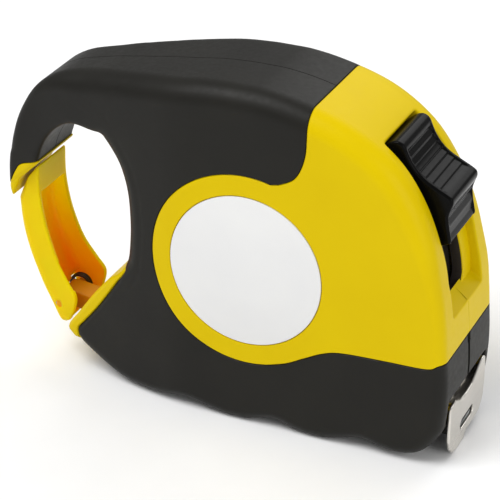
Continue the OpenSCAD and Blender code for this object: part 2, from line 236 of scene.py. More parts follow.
# ---------------------------------------------------------------- meshes from distances
def surface_net(field, low, high, step):
    """Vertices and quads round the space where the field is below zero."""
    axes = [np.arange(a, b + step, step) for a, b in zip(low, high)]
    grid = np.stack(np.meshgrid(*axes, indexing="ij"), -1)
    shape = grid.shape[:3]
    value = field(grid.reshape(-1, 3)).reshape(shape)
    cells = tuple(n - 1 for n in shape)
    total = np.zeros(cells + (3,))
    count = np.zeros(cells)
    faces = []
    number = np.arange(np.prod(cells)).reshape(cells)
    for axis in range(3):
        near = [slice(None)] * 3
        far = [slice(None)] * 3
        near[axis] = slice(0, -1)
        far[axis] = slice(1, None)
        a, b = value[tuple(near)], value[tuple(far)]
        crossed = (a < 0) != (b < 0)
        i, j, k = np.nonzero(crossed)
        start = grid[i, j, k]
        share = a[i, j, k] / (a[i, j, k] - b[i, j, k])
        point = start.copy()
        point[:, axis] += share * step
        others = [n for n in range(3) if n != axis]
        index = np.stack([i, j, k], 1)
        ring = []
        for du, dv in ((0, 0), (-1, 0), (-1, -1), (0, -1)):
            cell = index.copy()
            cell[:, others[0]] += du
            cell[:, others[1]] += dv
            good = ((cell >= 0) & (cell < np.array(cells))).all(1)
            c = cell[good]
            np.add.at(total, (c[:, 0], c[:, 1], c[:, 2]), point[good])
            np.add.at(count, (c[:, 0], c[:, 1], c[:, 2]), 1)
            ring.append((cell, good))
        whole = np.all([good for _, good in ring], axis=0)
        quad = np.stack([number[tuple(cell[whole].T)] for cell, _ in ring], 1)
        rising = (a[i, j, k] < 0)[whole]
        flip = rising if axis == 1 else ~rising
        quad[flip] = quad[flip][:, ::-1]
        faces.append(quad)
    quads = np.vstack(faces)
    used, packed = np.unique(quads, return_inverse=True)
    points = (total.reshape(-1, 3)[used].T / count.reshape(-1)[used]).T
    return settle(field, points), packed.reshape(quads.shape)


def slope(field, points, reach=0.05):
    """Unit direction in which the field grows fastest at each point, and how fast it grows."""
    out = np.zeros_like(points)
    for axis in range(3):
        shift = np.zeros(3)
        shift[axis] = reach
        out[:, axis] = (field(points + shift) - field(points - shift)) / (2 * reach)
    size = np.maximum(np.linalg.norm(out, axis=1), 1e-6)
    return out / size[:, None], size


def settle(field, points, rounds=3):
    """Moves points onto the surface of the field."""
    for _ in range(rounds):
        direction, size = slope(field, points)
        move = field(points) / size
        points = points - direction * np.clip(move, -0.4, 0.4)[:, None]
    return points


def triangles(quads):
    """Each quad as two triangles."""
    return np.vstack([quads[:, [0, 1, 2]], quads[:, [0, 2, 3]]])


def cut(points, tris, values):
    """Splits the triangles that the zero line of the values crosses, so that edges run along it."""
    values = np.where(np.abs(values) < 1e-7, -1e-7, values)
    above = values > 0
    count = above[tris].sum(1)
    crossed = (count == 1) | (count == 2)
    kept = tris[~crossed]
    hit = tris[crossed]
    if not len(hit):
        return points, tris
    lone = above[hit] == (count[crossed] == 1)[:, None]
    k = lone.argmax(1)
    row = np.arange(len(hit))
    p, q, r = hit[row, k], hit[row, (k + 1) % 3], hit[row, (k + 2) % 3]
    edges = np.sort(np.vstack([np.stack([p, q], 1), np.stack([p, r], 1)]), axis=1)
    unique, place = np.unique(edges, axis=0, return_inverse=True)
    place = place.reshape(-1) + len(points)
    a, b = unique.T
    t = (values[a] / (values[a] - values[b]))[:, None]
    points = np.vstack([points, points[a] + t * (points[b] - points[a])])
    pq, pr = place[:len(hit)], place[len(hit):]
    new = np.vstack([np.stack([p, pq, pr], 1), np.stack([pq, q, r], 1),
                     np.stack([pq, r, pr], 1)])
    return points, np.vstack([kept, new])


def weld(points, tris, grain=0.01):
    """Joins points that lie together, and drops the triangles that vanish."""
    key = np.round(points / grain).astype(np.int64)
    _, first, same = np.unique(key, axis=0, return_index=True, return_inverse=True)
    points, tris = points[first], same.reshape(-1)[tris]
    a, b, c = tris.T
    return points, tris[(a != b) & (b != c) & (a != c)]


def shell(outer, inner, tris):
    """Closes two matching skins into one solid along their open edges."""
    count = len(outer)
    edges = np.vstack([tris[:, [0, 1]], tris[:, [1, 2]], tris[:, [2, 0]]])
    code = edges[:, 0] * count + edges[:, 1]
    back = edges[:, 1] * count + edges[:, 0]
    a, b = edges[~np.isin(code, back)].T
    walls = np.vstack([np.stack([b, a, a + count], 1), np.stack([b, a + count, b + count], 1)])
    everything = np.vstack([tris, tris[:, ::-1] + count, walls])
    used, packed = np.unique(everything, return_inverse=True)
    return np.vstack([outer, inner])[used], packed.reshape(everything.shape)


def prism(outline, low, high, edge, rows=4):
    """Closed solid from an [x, z] outline between two y values, with rounded edges."""
    flat = np.array(outline, float)
    ahead = np.roll(flat, -1, axis=0) - np.roll(flat, 1, axis=0)
    normal = np.stack([ahead[:, 1], -ahead[:, 0]], 1)
    normal /= np.linalg.norm(normal, axis=1)[:, None]
    area = np.sum(flat[:, 0] * np.roll(flat[:, 1], -1) - np.roll(flat[:, 0], -1) * flat[:, 1])
    if area < 0:
        normal = -normal
    turns = np.linspace(0, math.pi / 2, rows + 1)
    rings = [(edge * (1 - math.sin(t)), low + edge * (1 - math.cos(t))) for t in turns]
    rings += [(edge * (1 - math.sin(t)), high - edge * (1 - math.cos(t))) for t in turns[::-1]]
    count = len(flat)
    points = []
    for inset, y in rings:
        ring = flat - inset * normal
        points.append(np.stack([ring[:, 0], np.full(count, y), ring[:, 1]], 1))
    quads = []
    for level in range(len(rings) - 1):
        for i in range(count):
            a, b = level * count + i, level * count + (i + 1) % count
            quads.append([a, b, b + count, a + count])
    cap = np.array(tessellate_polygon([[Vector((x, z, 0)) for x, z in flat]]))
    last = (len(rings) - 1) * count
    tris = np.vstack([triangles(np.array(quads)), cap[:, ::-1], cap + last])
    return np.vstack(points), tris


# ---------------------------------------------------------------- objects
def add_object(name, points, faces, materials, indices=None, sharp=40):
    """A smooth-shaded mesh object from points in millimetres about the label."""
    mesh = bpy.data.meshes.new(name)
    place = np.asarray(points) * MM + LABEL
    mesh.from_pydata(place.tolist(), [], np.asarray(faces).tolist())
    for entry in materials:
        mesh.materials.append(entry)
    if indices is not None:
        mesh.polygons.foreach_set("material_index", np.asarray(indices, np.int32))
    mesh.validate()
    mesh.shade_smooth()
    mesh.set_sharp_from_angle(angle=math.radians(sharp))
    mesh.update()
    obj = bpy.data.objects.new(name, mesh)
    bpy.context.scene.collection.objects.link(obj)
    return obj


def turn_outwards(obj):
    """Flips a closed mesh whose faces look inwards."""
    mesh = obj.data
    mesh.calc_loop_triangles()
    co = np.array([v.co for v in mesh.vertices]).reshape(-1, 3)
    tri = np.array([t.vertices for t in mesh.loop_triangles]).reshape(-1, 3)
    volume = np.einsum("ij,ij->i", co[tri[:, 0]], np.cross(co[tri[:, 1]], co[tri[:, 2]])).sum()
    if volume < 0:
        mesh.flip_normals()


def fit_out(obj, body, slot, *nodes):
    """Rides the piece on its body and hides the CAD nodes that it stands for; the slot is not used.
    """
    turn_outwards(obj)
    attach(obj, body)
    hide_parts(*nodes)
    return obj


# ---------------------------------------------------------------- materials
def linear(red, green, blue):
    """A colour given as it looks on a screen, 0 to 255, as a shader colour."""
    return tuple(((c / 255 + 0.055) / 1.055) ** 2.4 if c > 10 else c / 255 / 12.92
                 for c in (red, green, blue)) + (1.0,)


def new_material(name):
    """A node material with its tree, its shader and its object coordinates."""
    mat = bpy.data.materials.new(name)
    mat.use_nodes = True
    tree = mat.node_tree
    shader = tree.nodes["Principled BSDF"]
    coords = tree.nodes.new("ShaderNodeTexCoord")
    return mat, tree, shader, coords


def add_noise(tree, coords, scale, detail=3.0, stretch=(1, 1, 1)):
    """A noise texture on the object's own coordinates, with scale as features per metre."""
    mapping = tree.nodes.new("ShaderNodeMapping")
    mapping.inputs["Scale"].default_value = stretch
    noise = tree.nodes.new("ShaderNodeTexNoise")
    noise.inputs["Scale"].default_value = scale
    noise.inputs["Detail"].default_value = detail
    tree.links.new(coords.outputs["Object"], mapping.inputs["Vector"])
    tree.links.new(mapping.outputs["Vector"], noise.inputs["Vector"])
    return noise.outputs["Fac"]


def remap(tree, value, low, high, start=0.3, end=0.7):
    """Carries a value between start and end over to low and high."""
    node = tree.nodes.new("ShaderNodeMapRange")
    node.inputs["From Min"].default_value = start
    node.inputs["From Max"].default_value = end
    node.inputs["To Min"].default_value = low
    node.inputs["To Max"].default_value = high
    tree.links.new(value, node.inputs["Value"])
    return node.outputs["Result"]


def blend_colours(tree, value, first, second):
    """A colour between two, by the value."""
    node = tree.nodes.new("ShaderNodeMix")
    node.data_type = "RGBA"
    tree.links.new(value, node.inputs["Factor"])
    node.inputs["A"].default_value = first
    node.inputs["B"].default_value = second
    return node.outputs["Result"]


def finish(name, light, dark, rough, grain=6000, bump=0.02, depth=0.05, metal=0.0,
           patch=60, stretch=(1, 1, 1), specular=0.5, glow=0.0, shade_heights=None):
    """A moulded or metal surface: colour in soft patches, uneven gloss and a fine grain.

    light and dark are the ends of its colour, rough the ends of its roughness, grain the
    features per metre of its texture, and depth that texture's height in millimetres. Given two
    heights for painted shade, the dark colour below the first turns into the light one at the second.
    """
    mat, tree, shader, coords = new_material(name)
    # Painted shade: the colour darkens from the higher height down to the lower one.
    if shade_heights:
        split = tree.nodes.new("ShaderNodeSeparateXYZ")
        tree.links.new(coords.outputs["Object"], split.inputs["Vector"])
        low, high = [LABEL[2] + height * MM for height in shade_heights]
        share = remap(tree, split.outputs["Z"], 0, 1, low, high)
    else:
        share = remap(tree, add_noise(tree, coords, patch), 0, 1)
    shade = blend_colours(tree, share, dark, light)
    tree.links.new(shade, shader.inputs["Base Color"])
    gloss = add_noise(tree, coords, grain / 8, stretch=stretch)
    tree.links.new(remap(tree, gloss, *rough), shader.inputs["Roughness"])
    texture = add_noise(tree, coords, grain, detail=2.0, stretch=stretch)
    node = tree.nodes.new("ShaderNodeBump")
    node.inputs["Strength"].default_value = bump
    node.inputs["Distance"].default_value = depth * MM
    tree.links.new(texture, node.inputs["Height"])
    tree.links.new(node.outputs["Normal"], shader.inputs["Normal"])
    shader.inputs["Metallic"].default_value = metal
    shader.inputs["Specular IOR Level"].default_value = specular
    if glow:
        shader.inputs["Subsurface Weight"].default_value = glow
        shader.inputs["Subsurface Radius"].default_value = (1.0, 0.6, 0.08)
        shader.inputs["Subsurface Scale"].default_value = 6 * MM
    return mat


YELLOW = finish("yellow_abs", linear(216, 188, 0), linear(213, 184, 0), (0.36, 0.44),
                grain=5000, bump=0.05, specular=0.07)
GATE_YELLOW = finish("yellow_gate", linear(228, 198, 0), linear(224, 192, 0), (0.36, 0.44),
                     grain=5000, bump=0.05, specular=0.07, glow=0.6)
# Inside of the gate's channel: painted light and shade, brighter yellow at the top and deeper orange
# lower down.
GATE_INSIDE_SHADE = finish("gate_inside", linear(255, 214, 0), linear(238, 156, 0), (0.4, 0.5),
                     grain=5000, bump=0.05, specular=0.14, glow=1.0, shade_heights=(-22, 2))
# The tip's face towards the loop: a paler copy of the gate's yellow, painted light.
GATE_CAP_LIT = finish("gate_cap", linear(252, 232, 140), linear(246, 224, 128), (0.4, 0.5),
                  grain=5000, bump=0.05, specular=0.14, glow=0.7)
# Tongue at the hinge: the case's yellow darkened to golden brown, painted shade between the gate's
# walls.
HINGE_SHADE = finish("hinge_gold", linear(206, 136, 2), linear(188, 112, 0), (0.36, 0.44),
                    grain=5000, bump=0.05, specular=0.14)
RUBBER = finish("black_rubber", linear(31, 30, 26), linear(27, 26, 23), (0.42, 0.5),
                grain=7000, bump=0.18, depth=0.03, specular=0.16)
BUTTON = finish("gloss_black", linear(8, 8, 7), linear(6, 6, 6), (0.2, 0.27),
                grain=4000, bump=0.02, specular=0.07)
LABEL_WHITE = finish("label_white", linear(229, 229, 228), linear(225, 225, 225),
                     (0.38, 0.46), grain=9000, bump=0.04, specular=0.2)
NICKEL = finish("satin_nickel", linear(222, 218, 211), linear(210, 206, 198), (0.26, 0.38),
                metal=1.0, grain=5000, bump=0.10, stretch=(1, 0.06, 1), depth=0.01)
STEEL = finish("screw_steel", linear(170, 168, 164), linear(150, 148, 144), (0.25, 0.4),
               metal=1.0, grain=6000, bump=0.1)
SPRING = finish("spring_steel", linear(58, 51, 42), linear(44, 39, 33), (0.3, 0.45),
                metal=0.6, grain=6000, bump=0.1)
REEL = finish("reel_plastic", linear(216, 214, 206), linear(206, 204, 196), (0.4, 0.5))
# Dark brown-grey: the blade guide's plastic, and painted shade on the walls of the track's slot,
# whose case plastic is yellow.
INNER_PLASTIC_AND_SHADE = finish("inner_plastic", linear(52, 46, 40), linear(40, 35, 31), (0.4, 0.5),
                specular=0.2)


def blade_material():
    """Coated yellow blade with a printed scale: a mark each millimetre, longer at 5 and 10."""
    mat, tree, shader, coords = new_material("yellow_blade")
    split = tree.nodes.new("ShaderNodeSeparateXYZ")
    tree.links.new(coords.outputs["Object"], split.inputs["Vector"])

    def calc(kind, first, second=None):
        """A sum on one or two values, each a number or a node's output."""
        node = tree.nodes.new("ShaderNodeMath")
        node.operation = kind
        for slot_index, value in enumerate((first, second)):
            if isinstance(value, (int, float)):
                node.inputs[slot_index].default_value = value
            elif value is not None:
                tree.links.new(value, node.inputs[slot_index])
        return node.outputs["Value"]

    scale_start = LABEL[0] + 1 * MM + HOOK_X * MM
    along = calc("MULTIPLY", calc("SUBTRACT", scale_start, split.outputs["X"]), 1 / MM)
    across = calc("MULTIPLY", calc("ABSOLUTE", split.outputs["Y"]), 1 / MM)

    def marks(pitch, width, reach):
        """1 on the marks of this pitch, which reach in from both edges, and 0 between them."""
        on_line = calc("LESS_THAN", calc("FLOORED_MODULO", calc("ADD", along, width / 2), pitch),
                       width)
        near_edge = calc("GREATER_THAN", across, BLADE_HALF - reach)
        return calc("MULTIPLY", on_line, near_edge)

    ink = marks(1.0, 0.18, 3.0)
    for pitch, width, reach in ((5.0, 0.22, 4.6), (10.0, 0.3, 7.5)):
        ink = calc("MAXIMUM", ink, marks(pitch, width, reach))
    colour = blend_colours(tree, ink, linear(244, 206, 22), linear(22, 22, 22))
    tree.links.new(colour, shader.inputs["Base Color"])
    gloss = add_noise(tree, coords, 900)
    tree.links.new(remap(tree, gloss, 0.26, 0.36), shader.inputs["Roughness"])
    return mat


BLADE = blade_material()

# ---------------------------------------------------------------- body of the case
case_chart = Chart(curve(CASE_LINE, closed=True))
arm_chart = Chart(np.vstack([curve(ARM_OUTER), ARM_TIP, curve(ARM_INNER)[::-1]]))
# The yellow field closes inside the ring round the label, where its own line doesn't show.
inside_ring = [[FIELD_R * 0.9 * math.cos(math.radians(a)), FIELD_R * 0.9 * math.sin(math.radians(a))]
               for a in (100, 140, 180, 220, 260)]
field_chart = Chart(np.vstack([curve(FIELD_TOP), inside_ring, curve(FIELD_LOW), [[60, 60]]]))
hinge_chart = Chart(np.vstack([HINGE_BARE[:1], curve(HINGE_BARE[1:7], 5), HINGE_BARE[7:]]),
                    margin=60)
nose_chart = Chart(np.vstack([NOSE_BARE[:1], curve(NOSE_BARE[1:5], 5), NOSE_BARE[5:]]),
                   margin=60)
# Opening of the carabiner, from the inside of the case round to the inside of the arm.
loop_chart = Chart(np.vstack([CASE_LINE[17:29], [[-70, -31], [-70, 9]], ARM_INNER[:0:-1]]),
                   margin=60)

taper_x = np.arange(-80, 80, 0.5)
taper_y = np.interp(taper_x, *np.array(TAPER, float).T)
taper_y = np.convolve(np.pad(taper_y, 8, mode="edge"), np.ones(17) / 17, mode="valid")


def silhouette(x, z):
    """Distance to the side outline of case and arm."""
    flat = smooth_min(case_chart(x, z), arm_chart(x, z), 0.8)
    return np.maximum.reduce([flat, GROUND - z, z - TOP, REAR - x])


def edge_radius(x, z):
    """Rounding of the edge: wide along the top, smaller at the foot, the front and the arm."""
    radius = 3 + 2.2 * ramp(z, -34, -14)
    front = ramp(x, 30, 46) * ramp(z, 30, -4)
    radius = radius + (2.6 - radius) * front
    radius = radius + (1.8 - radius) * ramp(x, -42, -62)
    loop = 1.2 + 2.0 * ramp(x, -42, -35) * ramp(z, -12, -6)
    return radius + (loop - radius) * ramp(loop_chart(x, z), 4.5, 3)


def body(points):
    """Distance to the whole case."""
    x, y, z = points.T
    half = np.interp(x, taper_x, taper_y)
    return slab(silhouette(x, z), np.abs(y) - half, edge_radius(x, z))


def yellow(points):
    """Distance to the faces that the rubber leaves free, below zero on them."""
    x, _, z = points.T
    side = np.minimum(np.hypot(x, z) - FIELD_R, field_chart(x, z))
    return np.minimum(np.minimum(side, hinge_chart(x, z)), nose_chart(x, z))


def arc_place(points):
    """Angle and radius of points about the lock's axis."""
    x, _, z = points.T
    return np.arctan2(z - ARC[1], x - ARC[0]), np.hypot(x - ARC[0], z - ARC[1])


def on_arc(angle, y, radius):
    """Points at the angles, y values and radius about the lock's axis."""
    return np.stack([ARC[0] + radius * np.cos(angle), y + 0 * angle,
                     ARC[1] + radius * np.sin(angle)], 1)


def track(points):
    """Distance to the rim of the button's track, below zero in its opening."""
    angle, _ = arc_place(points)
    middle = (TRACK_LOW + TRACK_HIGH) / 2
    along = (angle - middle) * (FLOOR_R + 5)
    reach = (TRACK_HIGH - TRACK_LOW) / 2 * (FLOOR_R + 5)
    return block(along, points[:, 1], reach, TRACK_HALF, 0.8)


def mouth(points):
    """Distance to the rim of the blade's mouth, below zero in its opening."""
    x, y, z = points.T
    middle = (MOUTH_LOW + MOUTH_HIGH) / 2
    rim = block(y, z - middle, MOUTH_HALF, MOUTH_HIGH - middle, 0.8)
    return np.maximum(rim, 44 - x)


def screw_hole(points):
    """Distance to the nearest screw's counterbore on the side without the label."""
    x, y, z = points.T
    rims = [np.hypot(x - a, z - b) - SCREW_HOLE_R for a, b in SCREWS]
    return np.maximum(np.min(rims, axis=0), 10 - y)


def label_rim(points):
    """Distance to the edge of the label's recess."""
    x, y, z = points.T
    return np.maximum(np.hypot(x, z) - LABEL_R - LABEL_GAP, y + HALF - 1.0)


def track_depth(points):
    """The foot of the track's wall under each rim point: its lower end wall leans back."""
    angle, _ = arc_place(points)
    lean = 2.6 / FLOOR_R
    return on_arc(np.maximum(angle, TRACK_LOW + lean), points[:, 1], FLOOR_TOP_R - 0.6)


def mouth_depth(points):
    """The inner end of the mouth's wall behind each rim point."""
    out = points.copy()
    out[:, 0] = MOUTH_BACK
    return out


def screw_depth(points):
    """The foot of a counterbore's wall under each rim point."""
    out = points.copy()
    out[:, 1] = SCREW_SEAT
    return out


def lip(distance, radius):
    """How far a rim is rounded over, at this distance outside its opening."""
    off = np.clip(radius - np.maximum(distance, 0), 0, radius)
    return radius - np.sqrt(np.maximum(radius ** 2 - off ** 2, 0))


def seam_width(points):
    """Half width of the seam's groove: hair fine, but wide down the black front."""
    x, _, z = points.T
    front = ramp(x, 40, 42) * (z < -13.1)
    wedge = 0.45 * np.clip((z + 15.5) / 2.4, 0, 1)
    return SEAM_HALF + front * (0.4 + wedge)


def seam_sink(points, border):
    """Depth of the seam's groove: a slot down the black front, a fine line elsewhere."""
    wide = seam_width(points)
    off = np.abs(points[:, 1])
    share = np.maximum(ramp(border, -0.2, 0.2), 0.2 * ramp(points[:, 2], -2, -4))
    line = 0.35 * share * np.clip(1 - off / SEAM_HALF, 0, 1)
    slot = SEAM_SLOT_DEPTH * ramp(off, wide + 0.1, wide)
    return np.where(wide > 0.2, slot, line)


def groove(distance):
    """Depth of the parting line beside the rubber at this distance from it."""
    t = np.clip(np.abs(distance) / GROOVE_HALF, 0, 1)
    return GROOVE_DEPTH * (1 - t) ** 1.5


half_low = [-70, -HALF - 0.7, GROUND - 1]
half_high = [51.5, 0.7, TOP + 1]
half_points, half_quads = surface_net(body, half_low, half_high, HALF_STEP)
half_tris = triangles(half_quads)
half_points, half_tris = cut(half_points, half_tris, half_points[:, 1])
half_tris = half_tris[half_points[half_tris][:, :, 1].mean(1) < 0]
for level in (0.12, 0.52, 0.62, 0.97):
    half_points, half_tris = cut(half_points, half_tris, half_points[:, 1] + level)
for level in (-GROOVE_HALF, -GROOVE_HALF / 3, 0, GROOVE_HALF / 3, GROOVE_HALF):
    half_points, half_tris = cut(half_points, half_tris, yellow(half_points) - level)
for opening in (track, mouth):
    for level in (0, 0.1, 0.3, 0.6):
        half_points, half_tris = cut(half_points, half_tris, opening(half_points) - level)
half_points, half_tris = weld(half_points, half_tris)
half_points = settle(body, half_points, 1)


def case_side(side):
    """The plastic half and the rubber half of one side (-1 is the label's), as closed shells."""
    points, tris = half_points.copy(), half_tris
    openings = [(track, track_depth), (mouth, mouth_depth)]
    if side > 0:
        points[:, 1] *= -1
        tris = tris[:, ::-1]
        openings.append((screw_hole, screw_depth))
        for level in (0, 0.15, 0.4):
            points, tris = cut(points, tris, screw_hole(points) - level)
    else:
        for level in (0, 0.12):
            points, tris = cut(points, tris, label_rim(points) - level)
    points, tris = weld(points, tris)
    normal, _ = slope(body, points)
    border = yellow(points)
    sink = groove(border)
    sink = np.maximum(sink, seam_sink(points, border))
    for opening, _ in openings:
        sink = np.maximum(sink, lip(opening(points), 0.5))
    centre = points[tris].mean(1)
    open_face = np.zeros(len(tris), bool)
    for opening, _ in openings:
        open_face |= opening(centre) < 0
    tris, centre = tris[~open_face], centre[~open_face]

    # At the thin tip of the arm, the skins sink less, so that they stay inside it.
    thin = body(points - normal * INNER) > -0.3
    thinning = np.where(thin, 0.25, 1.0)[:, None]

    def skins(outer_sink, inner_sink):
        """The outer and the inner skin, which meet the depth of each opening at its rim."""
        outer = points - normal * outer_sink[:, None] * thinning
        inner = points - normal * inner_sink * thinning
        for opening, depth in openings:
            rim = np.abs(opening(points)) < 0.03
            inner[rim] = depth(outer[rim])
        return outer, inner

    bare = ramp(border, 0, GROOVE_HALF)
    plastic_sink = sink + (SKIN - sink) * bare
    if side < 0:
        plastic_sink = plastic_sink + LABEL_T * (label_rim(points) < 0.01)
    plastic = shell(*skins(plastic_sink, INNER), tris)
    beside_hinge = hinge_chart(points[:, 0], points[:, 2])
    rubber_sink = np.maximum(sink, lip(beside_hinge, 1.1))
    rubber = shell(*skins(rubber_sink, SKIN), tris[yellow(centre) > 0])
    return plastic, rubber


for side, hand in ((-1, "left"), (1, "right")):
    (plastic_points, plastic_tris), (rubber_points, rubber_tris) = case_side(side)
    shell_piece = add_object(f"case_shell_{hand}", plastic_points, plastic_tris, [YELLOW])
    fit_out(shell_piece, "case", "yellow_case", f"case_{hand}")
    grip_piece = add_object(f"rubber_grip_{hand}", rubber_points, rubber_tris, [RUBBER])
    fit_out(grip_piece, "case", "black_rubber", f"grip_{hand}")


# ---------------------------------------------------------------- smaller pieces of the case
def add_nose():
    """Bare end of the arm, which laps over the gate's free end."""
    chart = Chart(curve(NOSE_LINE, 5, closed=True), step=0.1)

    def nose(points):
        """Distance to the nose."""
        x, y, z = points.T
        side = np.maximum(chart(x, z), REAR - x)
        return slab(side, np.abs(y) - np.interp(x, taper_x, taper_y) + 0.25, 0.7)

    points, quads = surface_net(nose, [-68, -10.5, 1], [-57, 10.5, 14], 0.3)
    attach(add_object("arm_nose", points, quads, [YELLOW]), "case")


def add_track_floor():
    """Curved floor of the button's track, with the slot that shows the lock strip."""
    reach = TRACK_HALF + 0.8
    low, high = TRACK_LOW - 0.01, TRACK_HIGH + 0.01
    along = np.linspace(low, high, 90)
    across = np.linspace(-reach, reach, 40)
    grid = np.stack(np.meshgrid(along, across, indexing="ij"), -1).reshape(-1, 2)
    number = np.arange(len(grid)).reshape(len(along), len(across))
    quads = np.stack([number[:-1, :-1], number[1:, :-1], number[1:, 1:], number[:-1, 1:]], -1)
    flat = np.column_stack([grid[:, 0] * FLOOR_TOP_R, grid[:, 1], np.zeros(len(grid))])

    def slot(points):
        """Distance to the rim of the slot, on the floor laid flat."""
        middle = (low + high) / 2 * FLOOR_TOP_R
        half_length = (high - low) / 2 * FLOOR_TOP_R - 2.2
        return block(points[:, 0] - middle, points[:, 1], half_length, SLOT_HALF, 3.2)

    tris = triangles(quads.reshape(-1, 4))
    for level in (0, 0.15, 0.4):
        flat, tris = cut(flat, tris, slot(flat) - level)
    flat, tris = weld(flat, tris)
    tris = tris[slot(flat[tris].mean(1)) > 0]
    angle = flat[:, 0] / FLOOR_TOP_R
    top = on_arc(angle, flat[:, 1], FLOOR_TOP_R - lip(slot(flat), 0.3))
    under = on_arc(angle, flat[:, 1], PLATE_R + 0.1)
    points, tris = shell(top, under, tris)
    # Faces below the floor's top, the slot's walls among them, take the dark inner colour: painted
    # shade in the slot.
    _, height = arc_place(points[tris].mean(1))
    part = np.where(height < FLOOR_TOP_R - 0.35, 1, 0)
    floor = add_object("track_floor", points, tris, [YELLOW, INNER_PLASTIC_AND_SHADE], part)
    turn_outwards(floor)
    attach(floor, "case")


def add_label():
    """The blank printed disc, a hair below the face that it is set in."""
    turns = np.linspace(0, 2 * math.pi, 144, endpoint=False)
    radius = LABEL_R - 0.02
    outline = np.stack([radius * np.cos(turns), radius * np.sin(turns)], 1)
    points, tris = prism(outline, -HALF + 0.03, -HALF + LABEL_T, 0.15)
    fit_out(add_object("label_face", points, tris, [LABEL_WHITE], sharp=60), "case",
            "white_label", "label_disc")


add_nose()
add_track_floor()
add_label()


# ---------------------------------------------------------------- lock button
def add_button():
    """Thumb button with a ribbed hollow, a round crest and a stepped front."""
    turns = np.radians([a for _, a in BUTTON_LINE])
    radii = np.array([r for r, _ in BUTTON_LINE])
    top = curve(on_arc(turns, 0, radii)[:, [0, 2]], 5)
    sole_turns = np.radians(np.arange(52.2, 20.3, -2))
    sole = on_arc(sole_turns, 0, FLOOR_TOP_R + 0.2)[:, [0, 2]]
    chart = Chart(np.vstack([top, sole]), step=0.08, margin=3)
    rib_pitch = 2.05
    step_pitch = 1.05
    stem_half, stem_middle_r, stem_rise, stem_middle, stem_reach = 2.55, 43.9, 2.3, 34, 8.8
    arc_degree = 44 / 57.3

    def button(points):
        """Distance to the button with its ribs, steps and stem."""
        x, y, z = points.T
        angle, radius = arc_place(points)
        degrees = np.degrees(angle)
        hollow = ramp(degrees, 32.6, 34.2) * ramp(degrees, 47.8, 46.8) * ramp(radius, 48, 49)
        inside = ramp(np.abs(y), BUTTON_HALF - 1.0, BUTTON_HALF - 1.5)
        saw = np.mod(degrees / rib_pitch, 1)
        ribs = 0.22 + 0.26 * np.minimum(saw, (1 - saw) * 4)
        front = ramp(degrees, 29.6, 28.6) * ramp(radius, 48.2, 48.8) * ramp(radius, 53, 52.4)
        saw = np.mod(radius / step_pitch, 1)
        steps = 0.1 + 0.45 * np.minimum(saw * 4, 1 - saw)
        wide = ramp(np.abs(y), BUTTON_HALF - 0.6, BUTTON_HALF - 1.0)
        carved = hollow * inside * ribs + front * wide * steps
        shape = slab(chart(x, z) + carved, np.abs(y) - BUTTON_HALF, 0.55)
        stem = np.maximum(np.abs(y) - stem_half, np.abs(radius - stem_middle_r) - stem_rise)
        stem = np.maximum(stem, np.abs(degrees - stem_middle) * arc_degree - stem_reach)
        return np.minimum(shape, stem)

    points, quads = surface_net(button, [26, -9, 9], [48, 9, 39.5], 0.22 if FINE else 0.4)
    fit_out(add_object("thumb_button", points, quads, [BUTTON], sharp=50), "lock",
            "black_button", "lock_button")


add_button()


# ---------------------------------------------------------------- carabiner gate
def gate_half(x):
    """Half width of the gate: its sides run level with the tapered case."""
    return np.interp(x, taper_x, taper_y) - GATE_INSET


def round_pin(x, z, radius):
    """Distance to a round surface about the gate's pin."""
    return np.hypot(x - PIN[0], z - PIN[1]) - radius


